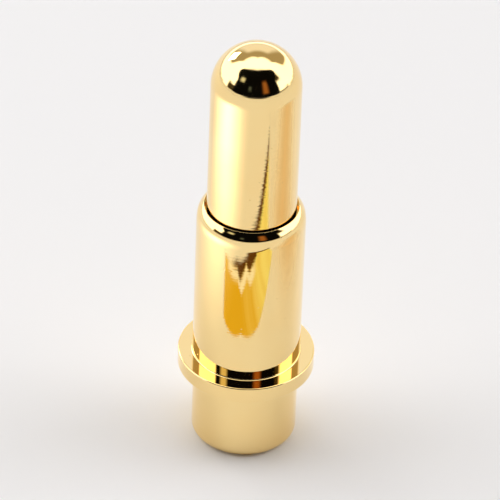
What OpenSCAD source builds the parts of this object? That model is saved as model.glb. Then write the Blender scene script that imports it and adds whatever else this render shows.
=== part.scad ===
// Spring-loaded contact pin: a flanged barrel, a round-nosed plunger held in it by
// the rolled mouth, and the compression spring that pushes the plunger out.
// The pin stands along Z with the centre of its tail's end face at the origin.

/* [Body] */
// Outside diameter of the barrel's body
body_d = 3.16; // [2.4:0.02:4.4]
// Length of the body, from the flange's top face to the mouth
body_length = 5.2; // [4.4:0.1:8]
// Thickness of the body's wall
wall_t = 0.14; // [0.1:0.01:0.2]
// Height of the bore's floor above the tail's end face
bore_floor = 2; // [1.2:0.1:2.6]
// Point angle of the drills that make both blind holes
drill_angle = 118; // [90:1:140]

/* [Rolled mouth] */
// Radius of the gentle shoulder where the wall starts to turn inwards
shoulder_r = 1.2; // [0.8:0.05:1.6]
// Angle through which the shoulder turns
shoulder_angle = 12; // [6:1:18]
// Radius of the crown that finishes the roll
crown_r = 0.5; // [0.4:0.01:0.6]
// Gap all round between the plunger's shaft and the mouth
mouth_clearance = 0.06; // [0.03:0.01:0.08]

/* [Flange] */
// How far the flange stands out from the body all round
flange_rim = 0.42; // [0.2:0.01:0.8]
// Thickness of the flange
flange_t = 0.5; // [0.3:0.05:1]
// Rounding of the flange's two outer edges
flange_edge_r = 0.04; // [0.02:0.01:0.12]
// Radius that the tool's nose leaves in the corners beside the flange
corner_r = 0.04; // [0.02:0.01:0.08]

/* [Tail] */
// Length of the solder tail below the flange
tail_length = 2.45; // [1.6:0.05:4]
// How much smaller the tail is than the body all round
tail_step = 0.04; // [0.02:0.01:0.2]
// Rounding of the tail's end edge
tail_edge_r = 0.25; // [0.1:0.05:0.5]

/* [Plunger] */
// Length of plunger that shows above the mouth at rest
exposed_length = 5.45; // [4.6:0.05:7]
// Distance that the plunger can be pressed in
stroke = 3; // [1.5:0.1:3.8]
// How far the skirt stands out from the shaft all round
skirt_step = 0.12; // [0.1:0.01:0.2]
// Gap all round between the skirt and the bore
skirt_clearance = 0.02; // [0.01:0.01:0.05]
// Gap left between the skirt and the metal above and below it
end_clearance = 0.02; // [0.01:0.01:0.1]
// Wall of the shaft round its spring hole
shaft_wall = 0.22; // [0.15:0.01:0.4]
// Solid metal between the spring hole's drill point and the tip
nose_solid = 3.65; // [3:0.05:4.4]
// Chamfers on the skirt's two outer edges and on the hole's rim
skirt_chamfer = 0.08; // [0.03:0.01:0.1]

/* [Spring] */
// Diameter of the spring's wire
wire_d = 0.22; // [0.14:0.01:0.26]
// Turns of wire from end to end
turns = 12; // [8:1:13]
// Closed turns at each end
closed_turns = 1.25; // [1:0.25:2]
// Gap all round between the spring and the plunger's hole
spring_clearance = 0.05; // [0.03:0.01:0.1]

/* [Hidden] */

$fn = 96;
// How far a cut reaches past the metal that it takes away
cut_margin = 0.2;
gold_plate = [0.93, 0.76, 0.38];
gold_plate_tip = [0.96, 0.8, 0.44];
spring_steel = [0.72, 0.73, 0.75];

// Radii, from the outside in
body_r = body_d / 2;
flange_r = body_r + flange_rim;
tail_r = body_r - tail_step;
bore_r = body_r - wall_t;
skirt_r = bore_r - skirt_clearance;
shaft_r = skirt_r - skirt_step;
mouth_r = shaft_r + mouth_clearance;
hole_r = shaft_r - shaft_wall;
coil_r = hole_r - spring_clearance - wire_d / 2;

// Heights, from the tail up
flange_top = tail_length + flange_t;
mouth_z = flange_top + body_length;
tip_z = mouth_z + exposed_length;

// The roll: the shoulder's and the crown's arcs share one tangent
shoulder_drop = shoulder_r * (1 - cos(shoulder_angle));
crown_end = acos(cos(shoulder_angle) - (body_r - shoulder_drop - mouth_r) / crown_r);
shoulder_rise = shoulder_r * sin(shoulder_angle);
crown_rise = crown_r * (sin(crown_end) - sin(shoulder_angle));
roll_z = mouth_z - shoulder_rise - crown_rise;
crown_z = roll_z + shoulder_rise;
shoulder_centre = [body_r - shoulder_r, roll_z];
crown_centre = shoulder_centre
    + (shoulder_r - crown_r) * [cos(shoulder_angle), sin(shoulder_angle)];

// The skirt stops under the roll and clears the bore's floor at full stroke
inner_shoulder_r = shoulder_r - wall_t;
skirt_angle = acos(1 - skirt_clearance / inner_shoulder_r);
skirt_seat = roll_z + inner_shoulder_r * sin(min(skirt_angle, shoulder_angle)) - end_clearance;
skirt_top = skirt_seat + skirt_chamfer;
skirt_bottom = bore_floor + stroke + end_clearance;

// Drill points, and the spring's seats on them
point_slope = tan(90 - drill_angle / 2);
hole_point_z = tip_z - nose_solid;
hole_top = hole_point_z - hole_r * point_slope;
wire_rest = wire_d / 2 / sin(drill_angle / 2);
coil_low_z = bore_floor - (bore_r - coil_r) * point_slope + wire_rest;
coil_high_z = hole_top + (hole_r - coil_r) * point_slope - wire_rest - end_clearance;

// The spring's winding
wire_sides = 8;
steps_per_turn = 20;
// Closed turns lie this many wire diameters apart
closed_pitch = 1.04 * wire_d;
spare_lift = coil_high_z - coil_low_z - turns * closed_pitch;

// Half section of a turned step between two heights, with its outer corners rounded
module turned_step(radius, low_z, high_z, low_round = 0, high_round = 0) {
    difference() {
        translate([0, low_z]) square([radius, high_z - low_z]);
        if (low_round > 0) corner_waste(radius, low_z, low_round, 1);
        if (high_round > 0) corner_waste(radius, high_z, high_round, -1);
    }
}

// What comes off a square corner to leave a quarter round: side is 1 on a lower corner
module corner_waste(radius, corner_z, round_r, side) {
    span = round_r + cut_margin;
    low_z = side > 0 ? corner_z - cut_margin : corner_z - round_r;
    difference() {
        translate([radius - round_r, low_z]) square(span);
        translate([radius - round_r, corner_z + side * round_r]) circle(round_r);
    }
}

// Half section of the fillet beside the flange: side is 1 above it and -1 below it
module corner_fillet(radius, corner_z, side) {
    difference() {
        translate([radius - corner_r, corner_z - corner_r]) square(2 * corner_r);
        translate([radius + corner_r, corner_z + side * corner_r]) circle(corner_r);
    }
}

// Half section inside the rolled mouth, set in from its outer arcs by an inset
module roll_section(inset) {
    intersection() {
        translate(shoulder_centre) circle(shoulder_r - inset);
        translate([0, roll_z]) square([body_r, shoulder_rise]);
    }
    intersection() {
        translate(crown_centre) circle(crown_r - inset);
        translate([0, crown_z]) square([body_r, crown_rise]);
    }
}

// Half section of a drilled blind hole: straight to its depth, then the drill's point
module drilled_section(radius, open_z, deep_z) {
    way = deep_z > open_z ? 1 : -1;
    point_z = deep_z + way * radius * point_slope;
    polygon([[0, open_z], [radius, open_z], [radius, deep_z], [0, point_z]]);
}

// Barrel: one turned piece with a solid tail and a blind bore, its mouth rolled in
module barrel() {
    color(gold_plate) rotate_extrude() difference() {
        union() {
            turned_step(tail_r, 0, flange_top, tail_edge_r);
            turned_step(flange_r, tail_length, flange_top, flange_edge_r, flange_edge_r);
            corner_fillet(tail_r, tail_length, -1);
            corner_fillet(body_r, flange_top, 1);
            turned_step(body_r, flange_top, roll_z);
            roll_section(0);
        }
        drilled_section(bore_r, roll_z, bore_floor);
        roll_section(wall_t);
        translate([0, bore_floor]) square([mouth_r, tip_z - bore_floor]);
    }
}

// Plunger: a round-nosed shaft, a wider skirt that the mouth holds in, and a spring hole
module plunger() {
    color(gold_plate_tip) rotate_extrude() difference() {
        union() {
            intersection() {
                translate([0, tip_z - shaft_r]) circle(shaft_r);
                translate([0, tip_z - shaft_r]) square(shaft_r);
            }
            turned_step(shaft_r, skirt_bottom, tip_z - shaft_r);
            skirt_section();
        }
        drilled_section(hole_r, skirt_bottom, hole_top);
        hole_rim_waste();
    }
}

// Half section of the plunger's skirt, chamfered at both ends
module skirt_section() {
    polygon([
        [0, skirt_bottom],
        [skirt_r - skirt_chamfer, skirt_bottom],
        [skirt_r, skirt_bottom + skirt_chamfer],
        [skirt_r, skirt_top - skirt_chamfer],
        [skirt_r - skirt_chamfer, skirt_top],
        [0, skirt_top]
    ]);
}

// Lead-in cut round the rim of the spring hole
module hole_rim_waste() {
    polygon([
        [0, skirt_bottom - cut_margin],
        [hole_r + skirt_chamfer + cut_margin, skirt_bottom - cut_margin],
        [hole_r, skirt_bottom + skirt_chamfer],
        [0, skirt_bottom + skirt_chamfer]
    ]);
}

// Height of the wire's centre after a number of turns: closed, open, then closed again
function coil_z(turn) =
    let (open_part = (turn - closed_turns) / (turns - 2 * closed_turns))
    coil_low_z + turn * closed_pitch + spare_lift * max(0, min(1, open_part));

// One ring of points round the wire, square to the winding
function wire_ring(turn) =
    let (around = 360 * turn)
    let (lead = atan2(coil_z(turn + 0.02) - coil_z(turn - 0.02), 0.04 * 2 * PI * coil_r))
    [for (side = [0 : wire_sides - 1])
        let (spin = 360 * (side + 0.5) / wire_sides)
        let (out = coil_r + wire_d / 2 * cos(spin))
        let (up = wire_d / 2 * sin(spin))
        [
            out * cos(around) + up * sin(around) * sin(lead),
            out * sin(around) - up * cos(around) * sin(lead),
            coil_z(turn) + up * cos(lead)
        ]
    ];

// Spring: round wire wound in one helix with closed, unground ends
module spring() {
    rings = turns * steps_per_turn;
    points = [for (ring = [0 : rings]) each wire_ring(ring / steps_per_turn)];
    sides = [
        for (ring = [0 : rings - 1], side = [0 : wire_sides - 1])
            let (next = (side + 1) % wire_sides)
            [
                ring * wire_sides + side,
                (ring + 1) * wire_sides + side,
                (ring + 1) * wire_sides + next,
                ring * wire_sides + next
            ]
    ];
    low_end = [for (side = [0 : wire_sides - 1]) side];
    high_end = [for (side = [wire_sides - 1 : -1 : 0]) rings * wire_sides + side];
    color(spring_steel) polyhedron(points, concat(sides, [low_end, high_end]));
}

barrel();
plunger();
spring();
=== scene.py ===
import math

import bpy
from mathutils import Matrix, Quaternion, Vector


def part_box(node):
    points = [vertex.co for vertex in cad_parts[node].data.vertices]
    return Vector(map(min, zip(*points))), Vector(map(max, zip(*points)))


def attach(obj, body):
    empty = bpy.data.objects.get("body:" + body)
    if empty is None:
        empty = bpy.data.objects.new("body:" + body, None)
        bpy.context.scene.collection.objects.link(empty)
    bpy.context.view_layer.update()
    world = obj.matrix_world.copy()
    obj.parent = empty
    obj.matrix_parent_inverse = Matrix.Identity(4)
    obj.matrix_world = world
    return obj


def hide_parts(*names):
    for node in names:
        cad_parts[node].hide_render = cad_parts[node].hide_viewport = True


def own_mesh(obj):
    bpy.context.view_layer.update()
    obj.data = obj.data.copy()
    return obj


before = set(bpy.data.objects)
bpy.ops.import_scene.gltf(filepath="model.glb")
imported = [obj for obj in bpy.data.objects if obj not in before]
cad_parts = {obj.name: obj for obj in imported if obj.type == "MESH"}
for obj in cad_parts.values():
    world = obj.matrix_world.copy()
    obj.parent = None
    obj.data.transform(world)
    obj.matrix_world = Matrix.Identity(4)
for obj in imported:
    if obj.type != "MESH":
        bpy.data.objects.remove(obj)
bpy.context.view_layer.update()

MM = 0.001

# ---------------------------------------------------------------- Camera
# The pin stands on its tail in front of a long lens that looks down at it from in front,
# with the camera turned a little so that the pin leans to the right.
LENS_MM = 354
CAMERA_PLACE = Vector((0, -113, 92.1)) * MM
CAMERA_ROLL = math.radians(2.27)
AIM_HEIGHT = 6.5 * MM


def add_camera():
    data = bpy.data.cameras.new("camera")
    data.lens = LENS_MM
    data.clip_start = 1 * MM
    data.clip_end = 10
    camera = bpy.data.objects.new("camera", data)
    bpy.context.scene.collection.objects.link(camera)
    camera.location = CAMERA_PLACE
    look = Vector((0, 0, AIM_HEIGHT)) - CAMERA_PLACE
    camera.rotation_mode = "QUATERNION"
    roll = Quaternion((0, 0, 1), CAMERA_ROLL)
    camera.rotation_quaternion = look.to_track_quat("-Z", "Y") @ roll
    bpy.context.scene.camera = camera


add_camera()

# ---------------------------------------------------------------- Barrel
# One piece of free-cutting brass, turned from bar: solid solder tail, flange and thin-walled
# body with a drilled blind bore. After the spring and the plunger go in, the mouth is rolled
# inwards over the plunger's skirt. It is then barrel plated in bright gold.
TURNED_SEGMENTS = 256
ARC_STEP = math.radians(6)

BODY_R = 1.58 * MM
TAIL_R = 1.54 * MM
FLANGE_R = 2.0 * MM
BORE_R = 1.44 * MM
MOUTH_R = 1.36 * MM
WALL = BODY_R - BORE_R
TAIL_TOP = 2.45 * MM
FLANGE_TOP = 2.95 * MM
MOUTH_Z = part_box("barrel")[1].z
BORE_FLOOR = 2.0 * MM
TAIL_ROUND = 0.25 * MM
FLANGE_ROUND = 0.04 * MM
CORNER_R = 0.04 * MM
MOUTH_ROUND = 0.01 * MM
DRILL_SLOPE = math.tan(math.radians(90 - 118 / 2))
SHOULDER_R = 1.2 * MM
SHOULDER_END = math.radians(12)
CROWN_R = 0.5 * MM


def line(start, end):
    """A straight stretch of a turned outline: its two points, each with the normal there."""
    dr, dz = end[0] - start[0], end[1] - start[1]
    length = math.hypot(dr, dz)
    normal = (dz / length, -dr / length)
    return [(start, normal), (end, normal)]


def arc(centre, radius, start, end, hollow=False):
    """A round stretch of a turned outline. Angles are from the radial direction, upwards."""
    steps = max(2, math.ceil(abs(end - start) / ARC_STEP))
    side = -1 if hollow else 1
    stretch = []
    for step in range(steps + 1):
        angle = start + (end - start) * step / steps
        way = (math.cos(angle), math.sin(angle))
        point = (centre[0] + radius * way[0], centre[1] + radius * way[1])
        stretch.append((point, (side * way[0], side * way[1])))
    return stretch


def turned(name, stretches):
    """Revolves an outline about Z. Its stretches run from axis to axis, metal on their left."""
    verts, faces, normals = [], [], []

    def ring(point):
        radius, z = point
        if radius < 1e-9:
            verts.append((0, 0, z))
            return [len(verts) - 1] * TURNED_SEGMENTS
        first = len(verts)
        for segment in range(TURNED_SEGMENTS):
            angle = math.tau * segment / TURNED_SEGMENTS
            verts.append((radius * math.cos(angle), radius * math.sin(angle), z))
        return list(range(first, first + TURNED_SEGMENTS))

    below = None
    below_point = None
    for stretch in stretches:
        for (low, low_normal), (high, high_normal) in zip(stretch, stretch[1:]):
            if below is None or math.dist(below_point, low) > 1e-9:
                below = ring(low)
            above = ring(high)
            for segment in range(TURNED_SEGMENTS):
                after = (segment + 1) % TURNED_SEGMENTS
                corners = [
                    (below[segment], segment, low_normal),
                    (below[after], after, low_normal),
                    (above[after], after, high_normal),
                    (above[segment], segment, high_normal),
                ]
                kept = []
                for corner in corners:
                    if corner[0] not in [k[0] for k in kept]:
                        kept.append(corner)
                faces.append([k[0] for k in kept])
                for _, turn, (out, up) in kept:
                    angle = math.tau * turn / TURNED_SEGMENTS
                    normals.append((out * math.cos(angle), out * math.sin(angle), up))
            below, below_point = above, high
    mesh = bpy.data.meshes.new(name)
    mesh.from_pydata(verts, [], faces)
    mesh.polygons.foreach_set("use_smooth", [True] * len(faces))
    mesh.normals_split_custom_set(normals)
    piece = bpy.data.objects.new(name, mesh)
    bpy.context.scene.collection.objects.link(piece)
    return piece


def barrel_outline():
    """Up the outside from the tail's end face, over the rolled mouth and down the bore."""
    quarter = math.pi / 2
    drop = BODY_R - SHOULDER_R * (1 - math.cos(SHOULDER_END)) - MOUTH_R
    crown_end = math.acos(math.cos(SHOULDER_END) - drop / CROWN_R)
    crown_rise = CROWN_R * (math.sin(crown_end) - math.sin(SHOULDER_END))
    roll_z = MOUTH_Z - SHOULDER_R * math.sin(SHOULDER_END) - crown_rise
    shoulder = (BODY_R - SHOULDER_R, roll_z)
    reach = SHOULDER_R - CROWN_R
    crown = (
        shoulder[0] + reach * math.cos(SHOULDER_END),
        shoulder[1] + reach * math.sin(SHOULDER_END),
    )
    # The crown stops where a small edge round, tangent to it and to the mouth, takes over
    inset = CROWN_R - MOUTH_ROUND
    edge_start = math.acos((MOUTH_R + MOUTH_ROUND - crown[0]) / inset)
    edge = (MOUTH_R + MOUTH_ROUND, crown[1] + inset * math.sin(edge_start))
    inner_r = CROWN_R - WALL
    inner_end = math.acos((MOUTH_R - crown[0]) / inner_r)
    inner_z = crown[1] + inner_r * math.sin(inner_end)
    point_z = BORE_FLOOR - BORE_R * DRILL_SLOPE
    tail_centre = (TAIL_R - TAIL_ROUND, TAIL_ROUND)
    rim_r = FLANGE_R - FLANGE_ROUND
    low_corner = (TAIL_R + CORNER_R, TAIL_TOP - CORNER_R)
    high_corner = (BODY_R + CORNER_R, FLANGE_TOP + CORNER_R)
    return [
        line((0, 0), (TAIL_R - TAIL_ROUND, 0)),
        arc(tail_centre, TAIL_ROUND, -quarter, 0),
        line((TAIL_R, TAIL_ROUND), (TAIL_R, TAIL_TOP - CORNER_R)),
        arc(low_corner, CORNER_R, math.pi, quarter, hollow=True),
        line((TAIL_R + CORNER_R, TAIL_TOP), (rim_r, TAIL_TOP)),
        arc((rim_r, TAIL_TOP + FLANGE_ROUND), FLANGE_ROUND, -quarter, 0),
        line((FLANGE_R, TAIL_TOP + FLANGE_ROUND), (FLANGE_R, FLANGE_TOP - FLANGE_ROUND)),
        arc((rim_r, FLANGE_TOP - FLANGE_ROUND), FLANGE_ROUND, 0, quarter),
        line((rim_r, FLANGE_TOP), (BODY_R + CORNER_R, FLANGE_TOP)),
        arc(high_corner, CORNER_R, -quarter, -math.pi, hollow=True),
        line((BODY_R, FLANGE_TOP + CORNER_R), (BODY_R, roll_z)),
        arc(shoulder, SHOULDER_R, 0, SHOULDER_END),
        arc(crown, CROWN_R, SHOULDER_END, edge_start),
        arc(edge, MOUTH_ROUND, edge_start, math.pi),
        line((MOUTH_R, edge[1]), (MOUTH_R, inner_z)),
        arc(crown, inner_r, inner_end, SHOULDER_END, hollow=True),
        arc(shoulder, SHOULDER_R - WALL, SHOULDER_END, 0, hollow=True),
        line((BORE_R, roll_z), (BORE_R, BORE_FLOOR)),
        line((BORE_R, BORE_FLOOR), (0, point_z)),
    ]


def group_tree(name, inputs, outputs):
    """An empty shader node group with named sockets, and its input and output nodes."""
    tree = bpy.data.node_groups.new(name, "ShaderNodeTree")
    for label, kind, value in inputs:
        socket = tree.interface.new_socket(label, in_out="INPUT", socket_type=kind)
        socket.default_value = value
    for label, kind in outputs:
        tree.interface.new_socket(label, in_out="OUTPUT", socket_type=kind)
    return tree, tree.nodes.new("NodeGroupInput"), tree.nodes.new("NodeGroupOutput")


def math_node(tree, operation, first, second=None, third=None):
    """A Math node whose inputs are numbers or other nodes' sockets. Returns its output."""
    node = tree.nodes.new("ShaderNodeMath")
    node.operation = operation
    for slot, value in enumerate((first, second, third)):
        if value is None:
            continue
        if isinstance(value, (int, float)):
            node.inputs[slot].default_value = value
        else:
            tree.links.new(value, node.inputs[slot])
    return node.outputs[0]


def turning_marks_group():
    """Fine rings left by the turning tool: a height that changes along the pin's axis only."""
    tree, given, made = group_tree(
        "Turning Marks",
        [("Pitch", "NodeSocketFloat", 0.1 * MM)],
        [("Height", "NodeSocketFloat")],
    )
    place = tree.nodes.new("ShaderNodeTexCoord")
    apart = tree.nodes.new("ShaderNodeSeparateXYZ")
    tree.links.new(place.outputs["Object"], apart.inputs[0])
    rings = math_node(tree, "DIVIDE", apart.outputs["Z"], given.outputs["Pitch"])
    uneven = tree.nodes.new("ShaderNodeTexNoise")
    uneven.noise_dimensions = "1D"
    uneven.inputs["Scale"].default_value = 1
    uneven.inputs["Detail"].default_value = 2
    tree.links.new(rings, uneven.inputs["W"])
    tree.links.new(uneven.outputs[0], made.inputs["Height"])
    return tree


def plate_tone_group():
    """The metal's colour, drifting slowly between two tones."""
    tree, given, made = group_tree(
        "Plate Tone",
        [
            ("Light Tone", "NodeSocketColor", (1, 1, 1, 1)),
            ("Deep Tone", "NodeSocketColor", (1, 1, 1, 1)),
            ("Patch Size", "NodeSocketFloat", 1.5 * MM),
        ],
        [("Color", "NodeSocketColor")],
    )
    place = tree.nodes.new("ShaderNodeTexCoord")
    cloud = tree.nodes.new("ShaderNodeTexNoise")
    cloud.inputs["Detail"].default_value = 2
    cloud_scale = math_node(tree, "DIVIDE", 1, given.outputs["Patch Size"])
    tree.links.new(place.outputs["Object"], cloud.inputs["Vector"])
    tree.links.new(cloud_scale, cloud.inputs["Scale"])
    blend = tree.nodes.new("ShaderNodeMix")
    blend.data_type = "RGBA"
    tree.links.new(cloud.outputs[0], blend.inputs["Factor"])
    tree.links.new(given.outputs["Light Tone"], blend.inputs["A"])
    tree.links.new(given.outputs["Deep Tone"], blend.inputs["B"])
    tree.links.new(blend.outputs["Result"], made.inputs["Color"])
    return tree


def fine_wear_group():
    """Faint haze and a few pits: a roughness for the whole surface and a depth for the pits."""
    tree, given, made = group_tree(
        "Fine Wear",
        [
            ("Bright Roughness", "NodeSocketFloat", 0.03),
            ("Hazy Roughness", "NodeSocketFloat", 0.1),
            ("Haze Size", "NodeSocketFloat", 0.6 * MM),
            ("Pit Spacing", "NodeSocketFloat", 0.35 * MM),
        ],
        [("Roughness", "NodeSocketFloat"), ("Pits", "NodeSocketFloat")],
    )
    place = tree.nodes.new("ShaderNodeTexCoord")
    haze = tree.nodes.new("ShaderNodeTexNoise")
    haze.inputs["Detail"].default_value = 4
    haze_scale = math_node(tree, "DIVIDE", 1, given.outputs["Haze Size"])
    tree.links.new(place.outputs["Object"], haze.inputs["Vector"])
    tree.links.new(haze_scale, haze.inputs["Scale"])
    spread = tree.nodes.new("ShaderNodeMapRange")
    spread.inputs["From Min"].default_value = 0.4
    spread.inputs["From Max"].default_value = 0.75
    tree.links.new(haze.outputs[0], spread.inputs["Value"])
    tree.links.new(given.outputs["Bright Roughness"], spread.inputs["To Min"])
    tree.links.new(given.outputs["Hazy Roughness"], spread.inputs["To Max"])
    tree.links.new(spread.outputs["Result"], made.inputs["Roughness"])
    cells = tree.nodes.new("ShaderNodeTexVoronoi")
    cell_scale = math_node(tree, "DIVIDE", 1, given.outputs["Pit Spacing"])
    tree.links.new(place.outputs["Object"], cells.inputs["Vector"])
    tree.links.new(cell_scale, cells.inputs["Scale"])
    pit = tree.nodes.new("ShaderNodeMapRange")
    pit.interpolation_type = "SMOOTHSTEP"
    pit.inputs["From Min"].default_value = 0.02
    pit.inputs["From Max"].default_value = 0.1
    tree.links.new(cells.outputs["Distance"], pit.inputs["Value"])
    tree.links.new(pit.outputs["Result"], made.inputs["Pits"])
    return tree


turning_marks = turning_marks_group()
plate_tone = plate_tone_group()
fine_wear = fine_wear_group()
PIT_DEPTH = 0.002 * MM


def worn_metal(name, light, deep, bright, hazy, pitch, mark_depth):
    """Metal with a drifting tone, faint haze, tiny pits and rings from the tool or the die."""
    material = bpy.data.materials.new(name)
    material.use_nodes = True
    tree = material.node_tree
    shader = tree.nodes["Principled BSDF"]
    shader.inputs["Metallic"].default_value = 1
    tone = tree.nodes.new("ShaderNodeGroup")
    tone.node_tree = plate_tone
    tone.inputs["Light Tone"].default_value = (*light, 1)
    tone.inputs["Deep Tone"].default_value = (*deep, 1)
    tree.links.new(tone.outputs["Color"], shader.inputs["Base Color"])
    wear = tree.nodes.new("ShaderNodeGroup")
    wear.node_tree = fine_wear
    wear.inputs["Bright Roughness"].default_value = bright
    wear.inputs["Hazy Roughness"].default_value = hazy
    tree.links.new(wear.outputs["Roughness"], shader.inputs["Roughness"])
    pits = tree.nodes.new("ShaderNodeBump")
    pits.inputs["Distance"].default_value = PIT_DEPTH
    tree.links.new(wear.outputs["Pits"], pits.inputs["Height"])
    marks = tree.nodes.new("ShaderNodeGroup")
    marks.node_tree = turning_marks
    marks.inputs["Pitch"].default_value = pitch
    rings = tree.nodes.new("ShaderNodeBump")
    rings.inputs["Distance"].default_value = mark_depth
    tree.links.new(marks.outputs["Height"], rings.inputs["Height"])
    tree.links.new(pits.outputs["Normal"], rings.inputs["Normal"])
    tree.links.new(rings.outputs["Normal"], shader.inputs["Normal"])
    return material


BARREL_LIGHT = (1.0, 0.78, 0.38)
BARREL_DEEP = (1.0, 0.72, 0.31)
barrel = turned("barrel_plated", barrel_outline())
barrel.data.materials.append(worn_metal(
    "barrel_gold", BARREL_LIGHT, BARREL_DEEP,
    bright=0.02, hazy=0.07, pitch=0.07 * MM, mark_depth=0.0003 * MM,
))
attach(barrel, "barrel")
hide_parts("barrel")

# ---------------------------------------------------------------- Plunger
# One piece of brass turned to a hemispherical nose, with a wider skirt inside the barrel and
# a drilled hole for the spring, then plated like the barrel. The rolled mouth keeps it in.
SHAFT_R = 1.3 * MM
SKIRT_R = 1.42 * MM
HOLE_R = 1.08 * MM
SKIRT_LOW, TIP_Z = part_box("plunger")[0].z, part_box("plunger")[1].z
SKIRT_TOP = 7.866 * MM
SKIRT_CHAMFER = 0.08 * MM
HOLE_POINT = TIP_Z - 3.65 * MM


def plunger_outline():
    """From the drill point down the hole, round the skirt and up the shaft to the tip."""
    hole_top = HOLE_POINT - HOLE_R * DRILL_SLOPE
    nose_z = TIP_Z - SHAFT_R
    cut = SKIRT_CHAMFER
    return [
        line((0, HOLE_POINT), (HOLE_R, hole_top)),
        line((HOLE_R, hole_top), (HOLE_R, SKIRT_LOW + cut)),
        line((HOLE_R, SKIRT_LOW + cut), (HOLE_R + cut, SKIRT_LOW)),
        line((HOLE_R + cut, SKIRT_LOW), (SKIRT_R - cut, SKIRT_LOW)),
        line((SKIRT_R - cut, SKIRT_LOW), (SKIRT_R, SKIRT_LOW + cut)),
        line((SKIRT_R, SKIRT_LOW + cut), (SKIRT_R, SKIRT_TOP - cut)),
        line((SKIRT_R, SKIRT_TOP - cut), (SKIRT_R - cut, SKIRT_TOP)),
        line((SKIRT_R - cut, SKIRT_TOP), (SHAFT_R, SKIRT_TOP)),
        line((SHAFT_R, SKIRT_TOP), (SHAFT_R, nose_z)),
        arc((0, nose_z), SHAFT_R, 0, math.pi / 2),
    ]


PLUNGER_LIGHT = (1.0, 0.78, 0.38)
PLUNGER_DEEP = (1.0, 0.71, 0.3)
plunger = turned("plunger_plated", plunger_outline())
plunger.data.materials.append(worn_metal(
    "plunger_gold", PLUNGER_LIGHT, PLUNGER_DEEP,
    bright=0.03, hazy=0.1, pitch=0.08 * MM, mark_depth=0.001 * MM,
))
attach(plunger, "plunger")
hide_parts("plunger")

# ---------------------------------------------------------------- Spring
# Stainless spring wire, cold wound into one coil with closed, unground ends. It sits between
# the drill point of the barrel's bore and the drill point of the plunger's hole.
WIRE_R = 0.11 * MM
COIL_R = 0.92 * MM
TURNS = 12
CLOSED_TURNS = 1.25
CLOSED_PITCH = 1.04 * 2 * WIRE_R
STEPS_PER_TURN = 48
WIRE_SIDES = 14
SPRING_LOW, SPRING_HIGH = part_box("spring")[0].z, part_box("spring")[1].z


def coil_height(turn):
    """Height of the wire's centre after some turns: closed, open, then closed again."""
    rise = SPRING_HIGH - SPRING_LOW - 2 * WIRE_R
    open_share = (turn - CLOSED_TURNS) / (TURNS - 2 * CLOSED_TURNS)
    open_lift = (rise - TURNS * CLOSED_PITCH) * min(1, max(0, open_share))
    return SPRING_LOW + WIRE_R + turn * CLOSED_PITCH + open_lift


def wound_spring():
    """Sweeps round wire along the helix and caps its two cut ends."""
    verts, faces = [], []
    rings = TURNS * STEPS_PER_TURN
    for ring in range(rings + 1):
        turn = ring / STEPS_PER_TURN
        around = math.tau * turn
        climb = coil_height(turn + 0.01) - coil_height(turn - 0.01)
        lead = math.atan2(climb, 0.02 * math.tau * COIL_R)
        for side in range(WIRE_SIDES):
            spin = math.tau * side / WIRE_SIDES
            out = COIL_R + WIRE_R * math.cos(spin)
            up = WIRE_R * math.sin(spin)
            verts.append((
                out * math.cos(around) + up * math.sin(around) * math.sin(lead),
                out * math.sin(around) - up * math.cos(around) * math.sin(lead),
                coil_height(turn) + up * math.cos(lead),
            ))
    for ring in range(rings):
        for side in range(WIRE_SIDES):
            after = (side + 1) % WIRE_SIDES
            low, high = ring * WIRE_SIDES, (ring + 1) * WIRE_SIDES
            faces.append((low + side, high + side, high + after, low + after))
    faces.append(tuple(range(WIRE_SIDES)))
    faces.append(tuple(rings * WIRE_SIDES + side for side in reversed(range(WIRE_SIDES))))
    mesh = bpy.data.meshes.new("spring_wire")
    mesh.from_pydata(verts, [], faces)
    mesh.polygons.foreach_set("use_smooth", [True] * (len(faces) - 2) + [False] * 2)
    mesh.update()
    piece = bpy.data.objects.new("spring_wire", mesh)
    bpy.context.scene.collection.objects.link(piece)
    return piece


STEEL_LIGHT = (0.64, 0.65, 0.67)
STEEL_DEEP = (0.5, 0.5, 0.51)
spring = wound_spring()
spring.data.materials.append(worn_metal(
    "spring_steel", STEEL_LIGHT, STEEL_DEEP,
    bright=0.15, hazy=0.3, pitch=0.05 * MM, mark_depth=0.0005 * MM,
))
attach(spring, "barrel")
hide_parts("spring")
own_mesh(spring)

# ---------------------------------------------------------------- Studio
# A wide pale matt table inside a light tent whose front is open and dark. Past the table's
# edge the room is as pale as the table.
FLOOR_HALF = 1500 * MM
FLOOR_TONE = (0.88, 0.88, 0.905)


def add_floor():
    mesh = bpy.data.meshes.new("floor")
    h = FLOOR_HALF
    mesh.from_pydata([(-h, -h, 0), (h, -h, 0), (h, h, 0), (-h, h, 0)], [], [(0, 1, 2, 3)])
    floor = bpy.data.objects.new("floor", mesh)
    bpy.context.scene.collection.objects.link(floor)
    material = bpy.data.materials.new("floor_paper")
    material.use_nodes = True
    shader = material.node_tree.nodes["Principled BSDF"]
    shader.inputs["Base Color"].default_value = (*FLOOR_TONE, 1)
    shader.inputs["Roughness"].default_value = 1
    shader.inputs["Specular IOR Level"].default_value = 0
    mesh.materials.append(material)


add_floor()


def ramp(tree, value, low, high):
    """Rises smoothly from 0 to 1 as the value goes from low to high."""
    node = tree.nodes.new("ShaderNodeMapRange")
    node.interpolation_type = "SMOOTHSTEP"
    tree.links.new(value, node.inputs["Value"])
    node.inputs["From Min"].default_value = low
    node.inputs["From Max"].default_value = high
    return node.outputs["Result"]


def band(tree, value, low, high, soft):
    """1 where the value lies between low and high, 0 elsewhere, with soft edges."""
    return math_node(
        tree, "SUBTRACT",
        ramp(tree, value, low - soft, low + soft),
        ramp(tree, value, high - soft, high + soft),
    )


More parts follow.
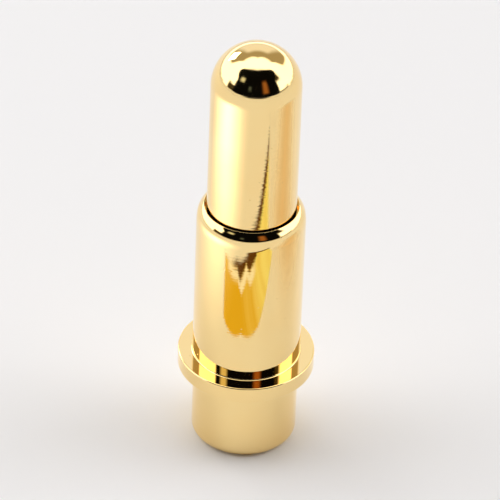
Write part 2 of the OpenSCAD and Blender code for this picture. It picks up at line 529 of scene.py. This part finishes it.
def lay_over(tree, below, mask, color):
    """Lays a plain colour over another wherever the mask is 1."""
    node = tree.nodes.new("ShaderNodeMix")
    node.data_type = "RGBA"
    tree.links.new(mask, node.inputs["Factor"])
    tree.links.new(below, node.inputs["A"])
    node.inputs["B"].default_value = (*color, 1)
    return node.outputs["Result"]


TENT_WHITE = (2.08, 2.07, 2.05)
TENT_BACK = (0.42, 0.36, 0.24)
TENT_BACK_LOW = (0.95, 0.95, 1.0)
TENT_OPENING = (0.003, 0.003, 0.003)
TENT_FLAP = (0.06, 0.045, 0.02)
LAMP_FACE = (0.8, 0.8, 0.65)
FAR_LAMP_FACE = (0.08, 0.1, 0.1)
WARM_PATCH = (0.33, 0.12, 0.03)
ROOM_LOW = (0.8, 0.79, 0.79)


def tent_world():
    """The tent's inside by direction: bright sides and top, a dimmer back, a dark open front."""
    world = bpy.data.worlds.new("light_tent")
    bpy.context.scene.world = world
    world.use_nodes = True
    tree = world.node_tree
    background = tree.nodes["Background"]
    place = tree.nodes.new("ShaderNodeTexCoord")
    apart = tree.nodes.new("ShaderNodeSeparateXYZ")
    tree.links.new(place.outputs["Generated"], apart.inputs[0])
    x, y, z = apart.outputs
    # Directions in degrees: turn from the front, to the right, and rise above the horizon
    to_front = math_node(tree, "MULTIPLY", y, -1)
    turn = math_node(tree, "DEGREES", math_node(tree, "ARCTAN2", x, to_front))
    rise = math_node(tree, "DEGREES", math_node(tree, "ARCSINE", z))
    aside = math_node(tree, "ABSOLUTE", turn)
    white = tree.nodes.new("ShaderNodeRGB")
    white.outputs[0].default_value = (*TENT_WHITE, 1)
    color = white.outputs[0]

    def panel(turns, rises, soft, tint, leftward=None):
        nonlocal color
        mask = math_node(
            tree, "MULTIPLY",
            band(tree, leftward or turn, *turns, soft),
            band(tree, rise, *rises, soft),
        )
        color = lay_over(tree, color, mask, tint)

    # The back hangs dimmer than the sides. Its lower corners rise towards the sides
    corner = math_node(tree, "MULTIPLY", math_node(tree, "SUBTRACT", 145, aside), 0.6)
    lifted = math_node(tree, "SUBTRACT", rise, math_node(tree, "MAXIMUM", corner, 0))
    back_top = math_node(tree, "MULTIPLY", math_node(tree, "SUBTRACT", 180, aside), 0.2)
    lowered = math_node(tree, "ADD", rise, back_top)
    back = math_node(
        tree, "MULTIPLY",
        math_node(tree, "MULTIPLY", ramp(tree, aside, 113, 121), ramp(tree, lifted, 9, 17)),
        math_node(tree, "SUBTRACT", 1, ramp(tree, lowered, 66, 76)),
    )
    color = lay_over(tree, color, back, TENT_BACK)
    panel((154, 200), (14, 47), 7, TENT_BACK_LOW, leftward=aside)
    # The opening flares above the rise of a raised flap on each side
    flare = math_node(tree, "MULTIPLY", ramp(tree, rise, 32, 52), 18)
    narrowed = math_node(tree, "SUBTRACT", aside, flare)
    dip = math_node(tree, "MULTIPLY", math_node(tree, "POWER", aside, 3), 7 / 60**3)
    top_edge = math_node(tree, "ADD", rise, dip)
    opening = math_node(
        tree, "MULTIPLY",
        math_node(tree, "SUBTRACT", 1, ramp(tree, narrowed, 59, 65)),
        math_node(tree, "SUBTRACT", 1, ramp(tree, top_edge, 72, 80)),
    )
    panel((60, 78), (30, 57), 5, TENT_FLAP)
    panel((-80, -58), (-2, 18), 3, TENT_FLAP)
    panel((60, 90), (-2, 7), 3, TENT_FLAP)
    color = lay_over(tree, color, opening, TENT_OPENING)
    panel((-54, -40), (36, 45), 4, LAMP_FACE)
    panel((-21, -14), (20, 30), 3, FAR_LAMP_FACE)
    panel((19, 32), (14, 43), 5, WARM_PATCH)
    low = math_node(tree, "SUBTRACT", 1, ramp(tree, rise, 3, 4))
    color = lay_over(tree, color, low, ROOM_LOW)
    tree.links.new(color, background.inputs["Color"])
    background.inputs["Strength"].default_value = 1


tent_world()


def add_lamp(name, place, aim, size, radiance):
    """A flat lamp of even brightness, out of the camera's sight. Its level is seen in metal."""
    data = bpy.data.lights.new(name, "AREA")
    data.shape = "RECTANGLE"
    data.size, data.size_y = size
    data.energy = radiance * 4 / math.pi * size[0] * size[1]
    lamp = bpy.data.objects.new(name, data)
    bpy.context.scene.collection.objects.link(lamp)
    lamp.location = place
    lamp.rotation_mode = "QUATERNION"
    lamp.rotation_quaternion = (aim - place).to_track_quat("-Z", "Y")
    lamp.visible_camera = False


CARD_HEIGHT = 0.05 * MM
SIDE_CARD_GLOW = 3
# Tan that paints shade of the table on the right into the metal's reflection
PAINTED_SHADE_TAN = (0.8, 0.64, 0.46)
# Colours that paint the reflection of a gold pin lying in front: shaded and lit amber, a painted
# highlight and painted dark edges
REFLECTION_SHADED_AMBER = (0.78, 0.5, 0.03)
REFLECTION_LIT_AMBER = (0.95, 0.9, 0.35)
PAINTED_HIGHLIGHT_TONE = (1.0, 1.0, 0.9)
PAINTED_EDGE_SHADE = (0.12, 0.05, 0.01)
# Where the notch in the painted dark edge lies, as a share of the strip from its left end
NOTCH_AT = 0.42
# Depths of the painted dark edge and the painted highlight, as shares of the strip from its near
# edge to its far edge
NOTCH_DEPTH = 0.2
NOTCH_SLOPE = 0.75
RIM_DEPTH = 0.24
HIGHLIGHT_DEPTH = 0.15


def add_card(name, near, far, soft, dress):
    """A card flat on the table, out of the camera's view, thinning out towards its edges.

    Its near and far edges are given point by point from the left, in millimetres.
    """
    mesh = bpy.data.meshes.new(name)
    count = len(near)
    verts = [(x * MM, y * MM, CARD_HEIGHT) for x, y in near + far]
    faces = [(k, k + 1, count + k + 1, count + k) for k in range(count - 1)]
    mesh.from_pydata(verts, [], faces)
    across = mesh.uv_layers.new(name="across")
    for loop, spot in zip(mesh.loops, across.data):
        row, column = divmod(loop.vertex_index, count)
        spot.uv = (column / (count - 1), row)
    card = bpy.data.objects.new(name, mesh)
    bpy.context.scene.collection.objects.link(card)
    material = bpy.data.materials.new(name)
    material.use_nodes = True
    tree = material.node_tree
    shader = tree.nodes["Principled BSDF"]
    shader.inputs["Roughness"].default_value = 1
    shader.inputs["Specular IOR Level"].default_value = 0
    place = tree.nodes.new("ShaderNodeTexCoord")
    apart = tree.nodes.new("ShaderNodeSeparateXYZ")
    tree.links.new(place.outputs["UV"], apart.inputs[0])
    cover = math_node(
        tree, "MULTIPLY",
        band(tree, apart.outputs["X"], soft[0], 1 - soft[0], soft[0]),
        band(tree, apart.outputs["Y"], soft[1], 1 - soft[1], soft[1]),
    )
    tree.links.new(cover, shader.inputs["Alpha"])
    dress(tree, shader, apart)
    mesh.materials.append(material)
    card.visible_camera = False
    card.visible_diffuse = False
    card.visible_shadow = False


def glowing(tree, shader, place):
    """A white card that glows evenly."""
    shader.inputs["Base Color"].default_value = (0, 0, 0, 1)
    shader.inputs["Emission Color"].default_value = (1, 1, 1, 1)
    shader.inputs["Emission Strength"].default_value = SIDE_CARD_GLOW


def painted_pin_reflection(tree, shader, place):
    """Painted reflection of a gold pin lying in front: painted dark edges with a notch, a
    painted highlight beside them, then amber painted lighter to the right.
    """
    x, y = place.outputs["X"], place.outputs["Y"]
    light_wobble = tree.nodes.new("ShaderNodeTexNoise")
    light_wobble.noise_dimensions = "1D"
    light_wobble.inputs["Scale"].default_value = 9
    light_wobble.inputs["Detail"].default_value = 3
    tree.links.new(x, light_wobble.inputs["W"])
    # Painted light along the strip: the amber grows lighter to the right, with a painted wobble
    # in it
    lit = math_node(tree, "ADD", light_wobble.outputs[0], math_node(tree, "MULTIPLY", x, 1.6))
    reflection_amber = tree.nodes.new("ShaderNodeMix")
    reflection_amber.data_type = "RGBA"
    reflection_amber.inputs["A"].default_value = (*REFLECTION_SHADED_AMBER, 1)
    reflection_amber.inputs["B"].default_value = (*REFLECTION_LIT_AMBER, 1)
    tree.links.new(ramp(tree, lit, 1.1, 2.1), reflection_amber.inputs["Factor"])
    aside = math_node(tree, "ABSOLUTE", math_node(tree, "SUBTRACT", x, NOTCH_AT))
    notch = math_node(tree, "MULTIPLY_ADD", aside, -NOTCH_SLOPE, NOTCH_DEPTH)
    rim = math_node(tree, "MULTIPLY", ramp(tree, x, 0.5, 0.64), RIM_DEPTH)
    shaded_edge_reach = math_node(tree, "MAXIMUM", notch, rim)
    depth = math_node(tree, "SUBTRACT", y, shaded_edge_reach)
    # A painted highlight band beside the dark edge
    highlight_band = math_node(
        tree, "MULTIPLY",
        band(tree, depth, 0.02, HIGHLIGHT_DEPTH, 0.03),
        math_node(tree, "SUBTRACT", 1, ramp(tree, aside, 0.25, 0.35)),
    )
    color = lay_over(tree, reflection_amber.outputs["Result"], highlight_band, PAINTED_HIGHLIGHT_TONE)
    # A painted dark shade along the near edge
    edge = math_node(tree, "SUBTRACT", 1, ramp(tree, depth, -0.02, 0.02))
    color = lay_over(tree, color, edge, PAINTED_EDGE_SHADE)
    tree.links.new(color, shader.inputs["Base Color"])


def painted_table_shade(tree, shader, place):
    """A tan card, seen only in the metal, that paints shade of the table on the right."""
    shader.inputs["Base Color"].default_value = (*PAINTED_SHADE_TAN, 1)


add_card("left_card", [(-28, -24), (-2, -24)], [(-28, 12), (-6.5, 12)], (0.28, 0.3), glowing)
# The right card paints shade of the table on the right into the metal
add_card("right_card", [(6.5, -12), (26, -12)], [(6.5, 8), (26, 8)], (0.15, 0.25), painted_table_shade)
# The front strip paints the reflection of a second gold pin lying in front into the metal
add_card(
    "front_strip",
    [(-8.8, -7.2), (-4.7, -10.2), (0, -11.9), (11.2, -14.4)],
    [(-6.2, -5.2), (-1.4, -7.2), (3.3, -7.2), (8.8, -8.1)],
    (0.03, 0.03), painted_pin_reflection,
)

# The key lamp stands behind on the left, so that the pin's soft shadow falls to the front right
KEY_PLACE = Vector((-118, 131, 100)) * MM
KEY_AIM = Vector((0, 0, 6)) * MM
KEY_SIZE = (60 * MM, 60 * MM)
KEY_RADIANCE = 11
add_lamp("key_lamp", KEY_PLACE, KEY_AIM, KEY_SIZE, KEY_RADIANCE)

bpy.context.scene.view_settings.view_transform = "Standard"
